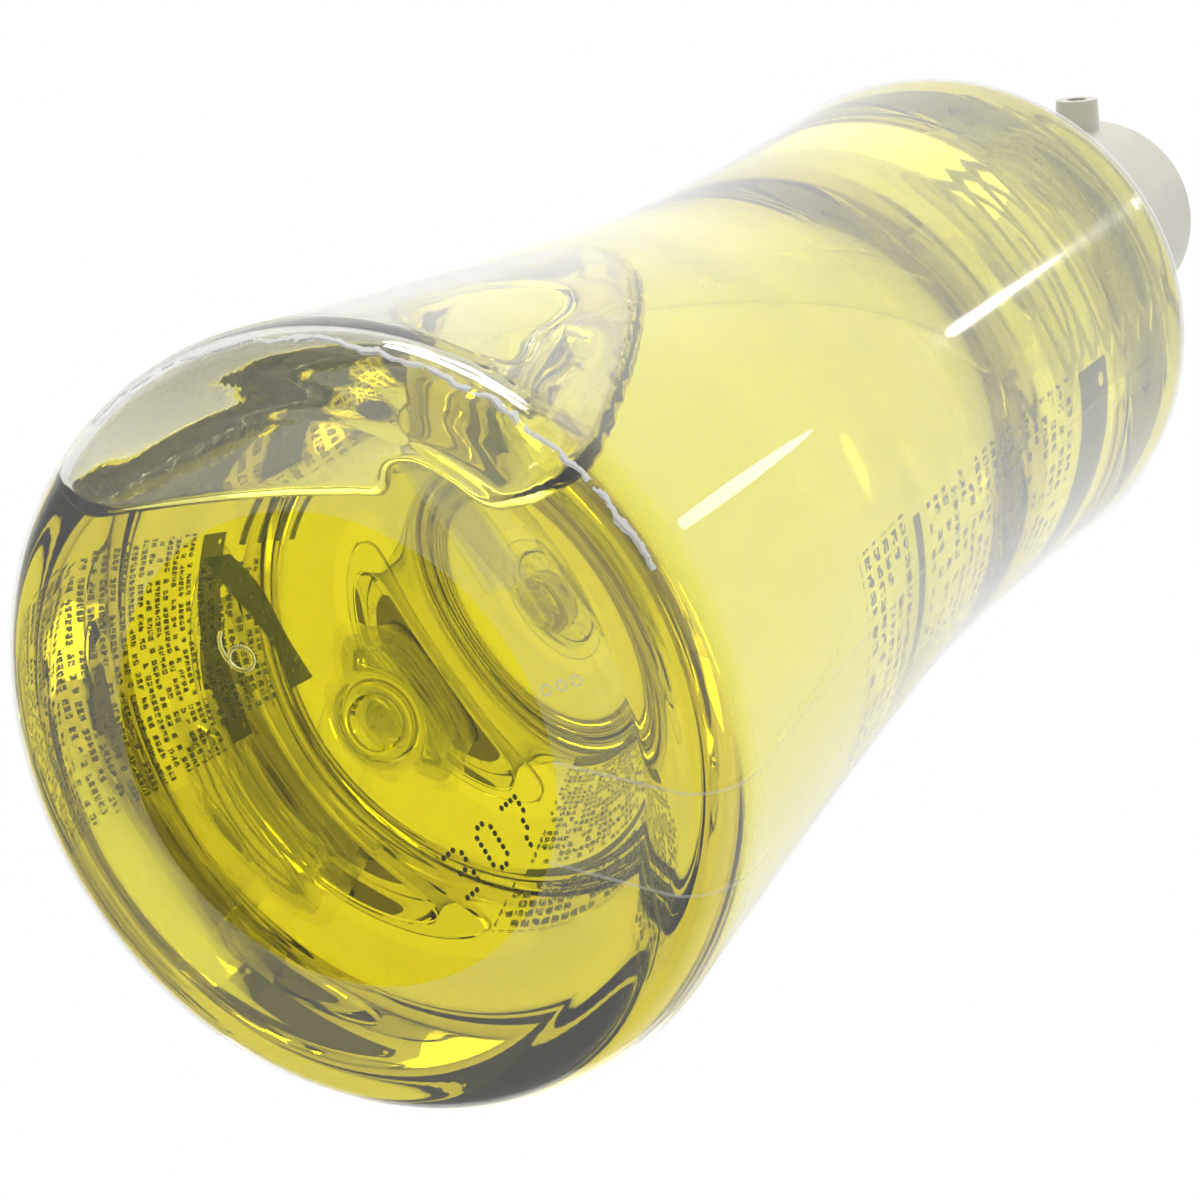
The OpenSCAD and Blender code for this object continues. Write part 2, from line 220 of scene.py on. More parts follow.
# %% Shader sums
class Value:
    """One output socket that takes part in sums."""

    def __init__(self, recipe, socket):
        self.recipe = recipe
        self.socket = socket

    def math(self, operation, *others):
        sockets = dict(enumerate((self, *others)))
        return self.recipe.node("Math", {"operation": operation}, sockets)

    def flipped(self, operation, other):
        return self.recipe.node("Math", {"operation": operation}, {0: other, 1: self})

    def __add__(self, other):
        return self.math("ADD", other)

    def __radd__(self, other):
        return self.flipped("ADD", other)

    def __sub__(self, other):
        return self.math("SUBTRACT", other)

    def __rsub__(self, other):
        return self.flipped("SUBTRACT", other)

    def __mul__(self, other):
        return self.math("MULTIPLY", other)

    def __rmul__(self, other):
        return self.flipped("MULTIPLY", other)

    def __truediv__(self, other):
        return self.math("DIVIDE", other)

    def __neg__(self):
        return self.flipped("MULTIPLY", -1.0)

    def __pow__(self, other):
        return self.math("POWER", other)

    def __gt__(self, other):
        return self.math("GREATER_THAN", other)

    def __lt__(self, other):
        return self.math("LESS_THAN", other)

    def __mod__(self, other):
        return self.math("FLOORED_MODULO", other)

    def floor(self):
        return self.math("FLOOR")

    def sin(self):
        return self.math("SINE")

    def size(self):
        return self.math("ABSOLUTE")

    def most(self, other):
        return self.math("MAXIMUM", other)

    def between(self, low, high):
        """1 between two limits and 0 outside them."""
        return (self > low) * (self < high)

    def ramp(self, low, high, at_low=0.0, at_high=1.0):
        """Moves smoothly from at_low to at_high as this value goes from low to high."""
        choices = {"interpolation_type": "SMOOTHSTEP"}
        return self.recipe.node("MapRange", choices, {0: self, 1: low, 2: high, 3: at_low, 4: at_high})


class Recipe:
    """A material or a world under construction."""

    def __init__(self, owner):
        self.owner = owner
        owner.use_nodes = True
        self.tree = owner.node_tree
        self.tree.nodes.clear()

    def node(self, kind, choices=None, sockets=None, out=0):
        """Adds a node of one kind, with its own choices and what goes into its sockets."""
        made = self.tree.nodes.new("ShaderNode" + kind)
        for name, choice in (choices or {}).items():
            setattr(made, name, choice)
        for name, given in (sockets or {}).items():
            if isinstance(given, Value):
                self.tree.links.new(given.socket, made.inputs[name])
            else:
                made.inputs[name].default_value = given
        return Value(self, made.outputs[out])

    def place(self):
        """The x, y and z of a point on the piece, in millimetres."""
        at = self.node("TexCoord", out="Object")
        parts = [self.node("SeparateXYZ", sockets={0: at}, out=i) for i in range(3)]
        return [part * (1 / MM) for part in parts]

    def noise(self, size, detail=2.0, stretch=(1, 1, 1)):
        """Soft noise whose blotches are about size millimetres wide, from 0 to 1."""
        scale = {"Vector": self.node("TexCoord", out="Object"), "Scale": stretch}
        spread = self.node("Mapping", sockets=scale)
        return self.node("TexNoise", sockets={"Vector": spread, "Scale": 1 / (size * MM), "Detail": detail})

    def mix(self, share, first, second):
        return self.node("MixShader", sockets={0: share, 1: first, 2: second})

    def surface(self, shader, inside=None):
        """Connects the finished shader, and what fills the piece if anything does."""
        output = self.tree.nodes.new("ShaderNodeOutputMaterial")
        self.tree.links.new(shader.socket, output.inputs["Surface"])
        if inside:
            self.tree.links.new(inside.socket, output.inputs["Volume"])
        return self.owner


def recipe(name):
    return Recipe(bpy.data.materials.new(name))


# %% [markdown]
# The bottle is clear PET. Only its outside bends light here. The oil wets the inside and bends light nearly
# as much as PET does, so that surface can't be seen on the real bottle either, and here it is see-through.
# The oil takes away a share of each colour per metre: hardly any red, a little more green and nearly all
# blue, so a thin layer is pale and a long way through it is deep yellow. Where it meets the trapped air it
# does bend light, and a number stored on those faces says so.

# %% Clear plastic and oil
PLASTIC_INDEX = 1.49
OIL_STRENGTH = 55.0
OIL_TAKES = (1.2, 2.3, 52.0)
OIL_TINT = tuple(1 - share / OIL_STRENGTH for share in OIL_TAKES) + (1.0,)


def clear_shader(made, tint):
    """A smooth face that bends light as PET does."""
    return made.node("BsdfPrincipled", sockets={"Base Color": tint, "Roughness": 0.0,
                                                "IOR": PLASTIC_INDEX, "Transmission Weight": 1.0})


def clear_plastic():
    made = recipe("clear_plastic")
    return made.surface(clear_shader(made, (0.98, 0.985, 0.97, 1)))


def wetted_plastic():
    made = recipe("wetted_plastic")
    return made.surface(made.node("BsdfTransparent"))


def yellow_oil():
    """One material for all of the oil's faces, so a ray that leaves the oil anywhere leaves the same oil."""
    made = recipe("yellow_oil")
    inside = made.node("VolumeAbsorption", sockets={"Color": OIL_TINT, "Density": OIL_STRENGTH})
    at_air = made.node("Attribute", {"attribute_name": "at_air"}, out=2)
    skin = clear_shader(made, (0.97, 0.95, 0.74, 1))
    return made.surface(made.mix(at_air, made.node("BsdfTransparent"), skin), inside)


def mark_faces(piece, name, number):
    """Stores the same number on every face of a piece."""
    stored = piece.data.attributes.new(name, "FLOAT", "FACE")
    stored.data.foreach_set("value", [number] * len(piece.data.polygons))
    return piece


CLEAR = clear_plastic()
WETTED = wetted_plastic()
OIL = yellow_oil()

# %% [markdown]
# The bottle's wall is two lathe lines: outside from the gate mark under the base to the neck's rim, and
# inside from the rim down again. They are spun apart, so that each keeps its own material, and then
# joined and merged along the rim and the poles into one closed wall.

# %% Bottle
GATE_OUTER, GATE_INNER, GATE_DEPTH = 3.0, 2.1, 0.4
BEAD_LOW = DOME_TOP + BEAD_Z
RIM = (BORE_R, NECK_TOP)


def gate_line():
    """The ring and the dimple that the moulding gate left in the middle of the base."""
    top = pushup(0)
    ring = [(GATE_INNER - 0.25, -0.05), (GATE_INNER, -GATE_DEPTH), (GATE_INNER + 0.3, -GATE_DEPTH - 0.1),
            (GATE_OUTER - 0.2, -GATE_DEPTH), (GATE_OUTER, -0.1)]
    return [(0, top - 0.1), (0.8, top - 0.05)] + [(r, pushup(r) + z) for r, z in ring]


outside_line = (gate_line() + base_line(0, start=GATE_OUTER + 0.2) + heel_line(0, 0)
                + side_line(0) + dome_line(0)
                + [(NECK_R, BEAD_LOW), (BEAD_R - 0.2, BEAD_LOW), (BEAD_R, BEAD_LOW + 0.2),
                   (BEAD_R, BEAD_LOW + BEAD_T - 0.2), (BEAD_R - 0.2, BEAD_LOW + BEAD_T),
                   (NECK_R, BEAD_LOW + BEAD_T), (NECK_R, NECK_TOP - 0.3), (NECK_R - 0.3, NECK_TOP), RIM])
inside_line = (base_line(BASE_WALL) + heel_line(-WALL, -BASE_WALL) + side_line(-WALL) + dome_line(-WALL)
               + [(BORE_R, DOME_TOP - WALL), (BORE_R, NECK_TOP)])

bottle = dress(lathe("clear_bottle", outside_line), CLEAR)
bottle = join(bottle, dress(lathe("bottle_inside", inside_line), WETTED))
bpy.ops.object.mode_set(mode="EDIT")
tidy_mesh()
bpy.ops.object.mode_set(mode="OBJECT")
smooth(bottle)
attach(bottle, "root")
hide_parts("bottle")
print("bottle:", len(bottle.data.polygons), "faces")

# %% [markdown]
# The dip tube is cut too long, so it bends at the heel and its foot lies across the push-up. Its route is
# straight stretches with round bends. A curve with a round bevel follows it, becomes a mesh, and Solidify
# gives the wall, so the square cut end shows a ring as on the real tube.

# %% Dip tube route
TUBE_R, TUBE_WALL, BEND_R = 2.4, 0.7, 8.0
FOOT_R = 16.5
SPIGOT_TOP, SPIGOT_LOW = 105.15, 96.15


def around(r, turn, z):
    """A point at an angle in degrees from the front, in the frame's millimetres."""
    t = math.radians(turn)
    return Vector((r * math.sin(t), -r * math.cos(t), z))


def bend(before, corner, after, radius, steps=14):
    """Points of a round bend that replaces a corner."""
    a = (corner - before).normalized()
    b = (after - corner).normalized()
    turn = a.angle(b)
    side = (b - b.dot(a) * a).normalized()
    centre = corner - radius * math.tan(turn / 2) * a + radius * side
    return [centre - radius * math.cos(t) * side + radius * math.sin(t) * a for t in stretch(0, turn, steps)]


TUBE_CORNERS = [Vector((0, 0, SPIGOT_TOP)), Vector((0, 0, SPIGOT_LOW - 4)),
                around(BASE_R - WALL - 1.6, 63.4, LIFT + BASE_WALL + TUBE_R + 2),
                around(FOOT_R, 98.4, LIFT + pushup(FOOT_R) + BASE_WALL + 1.12 * TUBE_R + 0.5)]
tube_route = ([TUBE_CORNERS[0]] + bend(*TUBE_CORNERS[0:3], BEND_R) + bend(*TUBE_CORNERS[1:4], BEND_R)
              + [TUBE_CORNERS[3]])


def pipe(name, route, radius, sides=8):
    """A round pipe along a route, open at both ends."""
    line = bpy.data.curves.new(name, "CURVE")
    line.dimensions = "3D"
    line.bevel_depth = radius * MM
    line.bevel_resolution = sides
    spline = line.splines.new("POLY")
    spline.points.add(len(route) - 1)
    for point, place in zip(spline.points, route):
        point.co = (*(place * MM), 1)
    piece = bpy.data.objects.new(name, line)
    bpy.context.scene.collection.objects.link(piece)
    only(piece)
    bpy.ops.object.convert(target="MESH")
    return bpy.context.object


def apply_modifier(piece, kind, **settings):
    """Adds one modifier and applies it at once."""
    only(piece)
    modifier = piece.modifiers.new(kind.lower(), kind)
    for name, value in settings.items():
        setattr(modifier, name, value)
    bpy.ops.object.modifier_apply(modifier=modifier.name)
    return piece


# %% [markdown]
# Two small marks lie under the base: a code in ink dots, which a printer jets on at the filling line, and
# the mould's number in raised lines. Each dot is a disc that faces as the base does. Plain digits stand
# for the real ones, and the number is a thin pipe sunk half into the base.

# %% Marks under the base
DIGITS = {"3": "1110 0001 0001 0110 0001 0001 1110", "0": "0110 1001 1001 1001 1001 1001 0110",
          "7": "1111 0001 0001 0010 0010 0100 0100"}
CODE = [("3", (-4.2, 11.0)), ("0", (-0.9, 11.6)), ("7", (2.3, 12.3))]
ALONG, UPRIGHT = Vector((0.98, 0.2)), Vector((0.2, -0.98))
DOT_R, DOT_PITCH = 0.21, 0.52
NUMERAL_AT = Vector((-2.9, -11.0))


def under_base(x, y, drop):
    """A point a little below the push-up, and the direction in which the base faces there."""
    r = math.hypot(x, y)
    slope = (pushup(r + 0.1) - pushup(r - 0.1)) / 0.2
    return Vector((x, y, pushup(r) + LIFT - drop)), Vector((slope * x / r, slope * y / r, -1)).normalized()


def printed_code():
    """Ink dots of three plain digits, each dot a small disc on the base."""
    clear_selection()
    dots = []
    for digit, middle in CODE:
        for row, cells in enumerate(DIGITS[digit].split()):
            for column, filled in enumerate(cells):
                if filled == "1":
                    step = ALONG * (column - 1.5) + UPRIGHT * (3 - row)
                    dots.append(Vector(middle) + step * DOT_PITCH)
    for index, dot in enumerate(dots):
        place, facing = under_base(*dot, 0.03)
        turn = facing.to_track_quat("Z", "Y").to_euler()
        bpy.ops.mesh.primitive_circle_add(vertices=10, radius=DOT_R * MM, fill_type="NGON",
                                          location=place * MM, rotation=turn)
        if index == 0:
            piece = only(bpy.context.object)
            piece.name = piece.data.name = "printed_code"
            piece.select_set(True)
            bpy.ops.object.transform_apply(location=True, rotation=True, scale=True)
            bpy.ops.object.mode_set(mode="EDIT")
    bpy.ops.object.mode_set(mode="OBJECT")
    return piece


def code_ink():
    made = recipe("code_ink")
    patchy = made.noise(0.3).ramp(0.3, 0.6, 0.0, 1.0)
    worn, solid = (0.08, 0.085, 0.03, 1), (0.03, 0.035, 0.02, 1)
    shade = made.node("Mix", {"data_type": "RGBA"}, {0: patchy, 6: worn, 7: solid}, out=2)
    return made.surface(made.node("BsdfPrincipled", sockets={"Base Color": shade, "Roughness": 0.5}))


def mould_numeral():
    """A plain numeral in raised lines, such as a mould's number."""
    turns = [math.radians(a) for a in stretch(180, 540, 24)]
    strokes = ([(0.55, 1.7), (0.0, 1.45), (-0.5, 0.9), (-0.8, 0.2)]
               + [(0.9 * math.cos(t), -0.6 + 0.9 * math.sin(t)) for t in turns])
    route = [under_base(*(NUMERAL_AT + ALONG * a + UPRIGHT * b), 0.0)[0] for a, b in strokes]
    return pipe("mould_numeral", route, 0.17, sides=3)


bottle = join(bottle, dress(printed_code(), code_ink()), dress(mould_numeral(), CLEAR))
print("bottle with its marks:", len(bottle.data.polygons), "faces")

# %% [markdown]
# The oil fills the bottle but for a pocket of air that is caught low on one side. The oil's outside lies
# on the wall. The pocket is a second shell inside it: the bottle's inside moved in by a thin film of oil,
# cut off by the pocket's flat boundary and hollowed round the tube, where oil clings. A voxel remesh rounds
# its rim the way surface tension does. Its faces look into the pocket, so light leaves the oil there.

# %% Oil and trapped air
AIR_AT, AIR_D, AIR_LEAN = 48.0, 16.0, 8.0
OIL_FILM = 0.35
CLING = 1.3
ROUND = 1.2


def bisect(piece, place, facing):
    """Cuts away what lies in front of a plane, and closes the cut."""
    only(piece)
    bpy.ops.object.mode_set(mode="EDIT")
    bpy.ops.mesh.select_all(action="SELECT")
    bpy.ops.mesh.bisect(plane_co=place * MM, plane_no=facing, use_fill=True, clear_outer=True)
    bpy.ops.object.mode_set(mode="OBJECT")
    return piece


def oil_line(out, low, high_end):
    """The oil's outline, closed over at high_end."""
    line = base_line(BASE_WALL + low) + heel_line(-WALL - out, -BASE_WALL - low) + side_line(-WALL - out)
    return line + dome_line(-WALL - out) + high_end


def onto_wall(place):
    """The nearest point of the bottle's inside, a film of oil away from it, to a point in millimetres."""
    inner = WALL + OIL_FILM
    rise = BASE_WALL + OIL_FILM
    r, z = place.xy.length, place.z - LIFT
    if z > HEEL_H:
        r_on, z_on = side_r(z) - inner, z
    elif r < RING_R:
        r_on, z_on = r, max(pushup(min(r, RING_R - RING_W)), 0) + rise
    else:
        wide, tall = BASE_R - RING_R - inner, HEEL_H - rise
        grown = math.hypot((r - RING_R) / wide, (HEEL_H - z) / tall)
        r_on, z_on = RING_R + (r - RING_R) / grown, HEEL_H - (HEEL_H - z) / grown
    return Vector((place.x * r_on / r, place.y * r_on / r, z_on + LIFT))


def onto_face(place):
    """The nearest point of the pocket's flat boundary."""
    return place - (place - AIR_POINT).dot(air_face) * air_face


def settle(piece, sure=0.3, far=0.8):
    """Moves points that remeshing left near the wall or the flat boundary exactly onto it."""
    for vertex in piece.data.vertices:
        place = vertex.co / MM
        for target in (onto_wall(place), onto_face(place)):
            gap = (target - place).length
            share = min(max((far - gap) / (far - sure), 0), 1)
            place = place.lerp(target, share * share)
        vertex.co = place * MM
    piece.data.update()


AIR_POINT = around(AIR_D, AIR_AT, LIFT)
oil = dress(lathe("oil_body", oil_line(0.02, 0.02, [(BORE_R - 0.02, DOME_TOP - WALL),
                                                    (BORE_R - 0.02, NECK_TOP - 0.3), (0, NECK_TOP - 0.3)])),
            OIL)

inset = OIL_FILM + ROUND
pocket = lathe("air_pocket", base_line(BASE_WALL + inset) + heel_line(-WALL - inset, -BASE_WALL - inset)
               + side_line(-WALL - inset, high=WAIST_Z, steps=30) + [(0, WAIST_Z)], steps=96)
lean = math.radians(AIR_LEAN)
out_side = around(1, AIR_AT, 0)
air_face = out_side * math.cos(lean) - Vector((0, 0, math.sin(lean)))
bisect(pocket, AIR_POINT + air_face * ROUND, -air_face)
cling = pipe("oil_round_tube", tube_route, TUBE_R + CLING + ROUND)
only(cling)
bpy.ops.object.mode_set(mode="EDIT")
bpy.ops.mesh.select_all(action="DESELECT")
bpy.ops.mesh.select_non_manifold()
bpy.ops.mesh.fill_holes(sides=0)
tidy_mesh()
bpy.ops.object.mode_set(mode="OBJECT")
apply_modifier(pocket, "BOOLEAN", operation="DIFFERENCE", object=cling, solver="EXACT")
bpy.data.objects.remove(cling)
apply_modifier(pocket, "REMESH", mode="VOXEL", voxel_size=0.3 * MM)
apply_modifier(pocket, "SMOOTH", factor=0.5, iterations=16)
apply_modifier(pocket, "DISPLACE", strength=ROUND * MM, mid_level=0.0)
apply_modifier(pocket, "REMESH", mode="VOXEL", voxel_size=0.4 * MM)
apply_modifier(pocket, "SMOOTH", factor=0.5, iterations=24)
settle(pocket)
apply_modifier(pocket, "SMOOTH", factor=0.5, iterations=6)
only(pocket)
bpy.ops.object.mode_set(mode="EDIT")
bpy.ops.mesh.select_all(action="SELECT")
bpy.ops.mesh.flip_normals()
bpy.ops.object.mode_set(mode="OBJECT")
bpy.ops.object.shade_smooth()
print("air pocket:", len(pocket.data.polygons), "faces")
smooth(oil)
oil = join(mark_faces(oil, "at_air", 0.0), dress(mark_faces(pocket, "at_air", 1.0), OIL))
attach(oil, "root")
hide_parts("oil")
print("oil:", len(oil.data.polygons), "faces")

# %% [markdown]
# The tube is milky polyethylene. In oil it nearly vanishes, and in the air pocket it shows, so its shader
# bends no light: it is a little white haze and a gloss that grows towards the edges.

# %% Milky tube
def thin_film(made, haze, colour, roughness, bump=None, index=1.45):
    """A thin clear layer: mostly see-through, a share of haze, and gloss that grows towards the edges.

    A layer has two faces. The one that is met from behind does nothing, and neither does any to a lamp's ray.
    """
    extra = {"Normal": bump} if bump else {}
    veil = made.node("BsdfPrincipled", sockets={"Base Color": colour, "Roughness": 0.5, **extra})
    body = made.mix(haze, made.node("BsdfTransparent"), veil)
    gloss = made.node("BsdfAnisotropic", sockets={"Color": (1, 1, 1, 1), "Roughness": roughness, **extra})
    edge = made.node("Fresnel", sockets={"IOR": index, **extra})
    from_behind = made.node("NewGeometry", out="Backfacing")
    lamp_ray = made.node("LightPath", out="Is Shadow Ray")
    return made.mix(from_behind.most(lamp_ray), made.mix(edge, body, gloss), made.node("BsdfTransparent"))


def milky_plastic():
    made = recipe("milky_tube")
    z = made.place()[2]
    cloud = made.noise(1.5, detail=1.0).ramp(0.3, 0.7, 0.8, 1.2)
    haze = cloud * z.ramp(9.0, 22.0, 0.2, 0.02)
    return made.surface(thin_film(made, haze, (0.86, 0.87, 0.78, 1), 0.2, index=1.25))


tube = pipe("bent_dip_tube", tube_route, TUBE_R, sides=10)
apply_modifier(tube, "SOLIDIFY", thickness=TUBE_WALL * MM, offset=-1)
dress(smooth(tube, 50), milky_plastic())
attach(tube, "pump_body")
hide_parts("dip_tube")
print("tube:", len(tube.data.polygons), "faces")

# %% [markdown]
# Two clear labels lie under the film, front and back. Their print is a mask worked out from the angle round
# the bottle and the height: bars, rows of short strokes that stand for small print, and one curved ribbon.

# %% Label print
LABEL_Z, LABEL_H, LABEL_A = 27.0, 81.0, 110.0
LABEL_R = 26.0


def label_place(made, facing):
    """Distance round the bottle from the label's middle, and height, both in millimetres."""
    x, y, z = made.place()
    around_it = (x * -facing).math("ARCTAN2", y * facing) * LABEL_R
    return around_it, z - LIFT


def small_print(made, u, z, pitch, letter, inked=0.72):
    """Rows of short strokes of uneven length."""
    row = (z / pitch).floor()
    in_row = (z / pitch - row).between(0.22, 0.78)
    cell = (u / letter).floor()
    at = made.node("CombineXYZ", sockets={0: cell, 1: row})
    chance = made.node("TexWhiteNoise", {"noise_dimensions": "2D"}, {"Vector": at}, out="Value")
    within = u / letter - cell
    stem = within.between(0.12, 0.88)
    fine = made.noise(0.55, detail=1.0) > 0.44
    return in_row * stem * (chance < inked) * fine


def back_print(made):
    u, z = label_place(made, 1)
    upper_bar = z.between(93.5, 101.5) * (u.size() < 21.0)
    dot_at = u.size() - 19.0
    dots = (dot_at * dot_at + (z - 99.6) * (z - 99.6)) < 0.5
    lower_bar = z.between(45.2, 47.0) * (u.size() < 21.5)
    rows = small_print(made, u, z, 2.4, 1.1) * z.between(49.0, 91.5) * (u.size() < 21.5)
    low_rows = small_print(made, u, z, 2.3, 1.3, 0.85) * z.between(31.5, 44.0) * (u.size() < 22.5)
    return (upper_bar * (1 - dots)).most(lower_bar).most(rows).most(low_rows)


def front_print(made):
    u, z = label_place(made, -1)
    ribbon = (z - 48.0 + (u + 27.0) * (u + 27.0) * 0.045).size() < (2.6 + (u / 2.5).sin() * 0.6)
    rows = small_print(made, u, z, 1.9, 0.9, 0.8) * z.between(28.0, 41.0) * (u < -9.0)
    bars = (z % 4.0).between(0.0, 1.2) * z.between(34.0, 50.0) * (u.size() < 7.0)
    return (ribbon * (u < -8.0)).most(rows).most(bars)


def printed_label(name, drawn, ink, cover):
    made = recipe(name)
    mask = drawn(made)
    patchy = made.noise(0.4, detail=2.0).ramp(0.25, 0.6, 0.75, 1.0)
    paint = made.node("BsdfPrincipled", sockets={"Base Color": ink, "Roughness": 0.4})
    veil = made.node("BsdfPrincipled", sockets={"Base Color": (0.9, 0.9, 0.88, 1), "Roughness": 0.3})
    clear = made.mix(0.03, made.node("BsdfTransparent"), veil)
    print_on_it = made.mix(mask * patchy * cover, clear, paint)
    lamp_ray = made.node("LightPath", out="Is Shadow Ray")
    skipped = made.node("NewGeometry", out="Backfacing").most(lamp_ray)
    return made.surface(made.mix(skipped, print_on_it, made.node("BsdfTransparent")))


# %% [markdown]
# Each label is spun from a short stretch of the side's outline and thickened by Solidify. It sticks to the
# wall without air, so it lies in the wall's outer skin here, and its print shows from inside too.

# %% Labels
LAY, LABEL_T = -0.15, 0.1


def label(name, node, facing, material):
    line = side_line(LAY, LABEL_Z, LABEL_Z + LABEL_H, 40)
    piece = lathe(name, line, LABEL_A, 48, start=-90.0 * facing - LABEL_A / 2)
    apply_modifier(piece, "SOLIDIFY", thickness=LABEL_T * MM, offset=1)
    only(piece)
    bpy.ops.object.mode_set(mode="EDIT")
    tidy_mesh()
    bpy.ops.object.mode_set(mode="OBJECT")
    dress(smooth(piece, 50), material)
    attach(piece, "root")
    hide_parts(node)
    return piece


label("front_print", "front_label", 1,
      printed_label("front_ink", front_print, (0.09, 0.12, 0.08, 1), 0.8))
label("back_print", "back_label", -1,
      printed_label("back_ink", back_print, (0.12, 0.13, 0.17, 1), 0.95))

# %% [markdown]
# The shrink film wraps the body, turns under the heel and ends in a round opening below the push-up. It is
# one lathe line, thickened. Its seam, its vent holes and the crease round the heel are finer than its wall
# is long, so they are masks in its materials: one for the plain side and one, with more on it, for the heel.
# The crease is a real fold, painted white as its highlight, and only on the side that the lamps light.

# %% Shrink film
FILM_IN, FILM_T = 0.2, 0.15
FILM_OPEN_R, FILM_TOP_R = 16.9, 16.0
LAP_AT, LAP_W = 150.0, 7.2
VENTS_AT, VENTS_R, VENT_PITCH = 122.0, 17.9, 1.15
# Height of the painted highlight line along the heel's fold.
GLINT_LINE_Z = 2.0


def film_line(out):
    end = math.degrees(math.acos((FILM_TOP_R - NECK_R) / (SHOULDER_R - NECK_R + out)))
    under = [(r, -out) for r in stretch(FILM_OPEN_R, RING_R - 0.5, 16)]
    return under + heel_line(out, out) + side_line(out) + dome_line(out, end)


def seam_lap(x, y):
    """The strip where the film's ends overlap, and the two lines of its edges."""
    r = (x * x + y * y) ** 0.5
    across = ((x.math("ARCTAN2", -y) - math.radians(LAP_AT)) * r).size()
    return across < LAP_W / 2, (across - LAP_W / 2).size() < 0.12


def film_on_side():
    made = recipe("film_on_side")
    x, y, z = made.place()
    strip, edges = seam_lap(x, y)
    crinkle = made.noise(3.5, detail=1.0, stretch=(1, 1, 0.35))
    haze = crinkle.ramp(0.3, 0.7, 0.06, 0.1) + 0.03 * strip + 0.15 * edges
    return made.surface(thin_film(made, haze, (0.8, 0.8, 0.74, 1), z.ramp(50.0, 72.0, 0.45, 0.14)))


def vent_holes(x, y):
    """The rims of three small holes in a row, punched to let air out while the film shrinks."""
    turn = math.radians(VENTS_AT)
    outwards = x * math.sin(turn) - y * math.cos(turn) - VENTS_R
    sideways = x * math.cos(turn) + y * math.sin(turn)
    step = (outwards + VENT_PITCH / 2) % VENT_PITCH - VENT_PITCH / 2
    near = (step * step + sideways * sideways) ** 0.5
    return near.between(0.25, 0.42) * outwards.between(-VENT_PITCH / 2, VENT_PITCH * 2.5)


def crease_glint(made, x, y, z):
    """The thin knotted line where the film folded round the heel, painted white as the fold's highlight on
    its lit side.
    """
    wander = (made.noise(3.0, detail=3.0) - 0.5) * 2.2
    broken = made.noise(1.2, detail=2.0) > 0.42
    line = (z - GLINT_LINE_Z - wander).size() < 0.16
    turn = x.math("ARCTAN2", -y) * (180 / math.pi)
    return line * broken * turn.between(14.0, 112.0)


def film_on_heel():
    made = recipe("film_on_heel")
    x, y, z = made.place()
    strip, edges = seam_lap(x, y)
    under = z < FILM_T + FILM_IN
    haze = 0.07 + 0.06 * under + 0.04 * strip + (0.3 * edges).most(0.5 * under * vent_holes(x, y))
    crinkle = made.noise(2.5, detail=1.0)
    bump = made.node("Bump", sockets={"Strength": 0.3, "Distance": 0.2 * MM, "Height": crinkle})
    # Painted highlight: the fold's glint is a white diffuse layer laid over the film, not a reflection.
    painted_glint = made.node("BsdfPrincipled", sockets={"Base Color": (0.95, 0.95, 0.92, 1), "Roughness": 0.3})
    thin = thin_film(made, haze, (0.8, 0.8, 0.74, 1), 0.1, bump)
    return made.surface(made.mix(crease_glint(made, x, y, z) * 0.9, thin, painted_glint))


film = lathe("clear_shrink_film", film_line(FILM_IN))
apply_modifier(film, "SOLIDIFY", thickness=FILM_T * MM, offset=1)
only(film)
bpy.ops.object.mode_set(mode="EDIT")
tidy_mesh()
bpy.ops.object.mode_set(mode="OBJECT")
dress(smooth(film), film_on_side(), film_on_heel())
for face in film.data.polygons:
    face.material_index = int(face.center.z < (HEEL_H + LIFT) * MM)
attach(film, "root")
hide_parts("shrink_film")
print("film:", len(film.data.polygons), "faces")

# %% [markdown]
# The pump's pieces keep their CAD meshes and only get better materials here. The white ones fade where
# they are seen through the oil or the wall, because the photograph shows nothing of the pump there.

# %% Pump materials
def moulded(name, colour, roughness, coat=0.0):
    made = recipe(name)
    grain = made.noise(0.35, detail=3.0)
    tone = made.noise(6.0, detail=1.0).ramp(0.3, 0.7, 0.0, 1.0)
    dark = tuple(c * 0.94 for c in colour[:3]) + (1,)
    shade = made.node("Mix", {"data_type": "RGBA"}, {0: tone, 6: dark, 7: colour}, out=2)
    bump = made.node("Bump", sockets={"Strength": 0.15, "Distance": 0.02 * MM, "Height": grain})
    body = made.node("BsdfPrincipled", sockets={
        "Base Color": shade, "Roughness": grain.ramp(0.2, 0.8, roughness - 0.05, roughness + 0.08),
        "Coat Weight": coat, "Coat Roughness": 0.2, "Normal": bump})
    through = made.node("LightPath", out="Is Transmission Ray")
    return made.surface(made.mix(through, body, made.node("BsdfTransparent")))


def steel():
    made = recipe("steel")
    scratch = made.noise(0.2, detail=3.0)
    body = made.node("BsdfPrincipled", sockets={"Base Color": (0.62, 0.63, 0.65, 1), "Metallic": 1.0,
                                                "Roughness": scratch.ramp(0.3, 0.7, 0.15, 0.3)})
    return made.surface(body)


def cloudy(name, haze):
    made = recipe(name)
    cloud = made.noise(2.0, detail=2.0)
    return made.surface(thin_film(made, cloud.ramp(0.3, 0.7, haze - 0.1, haze + 0.1), (0.86, 0.87, 0.84, 1),
                                  0.25, index=1.3))


WHITE = moulded("white_plastic", (0.75, 0.73, 0.61, 1), 0.35, coat=0.3)
CLOUDY = cloudy("cloudy_plastic", 0.2)
STEEL = steel()
finishes = {
    "closure": WHITE, "chaplet": WHITE, "stem": WHITE, "pump_head": WHITE, "gasket": WHITE,
    "pump_housing": CLOUDY, "valve_cage": CLOUDY, "piston": CLOUDY,
    "inlet_ball": STEEL, "discharge_ball": STEEL, "spring": STEEL,
}
for name, material in finishes.items():
    dress(nodes[name], material)

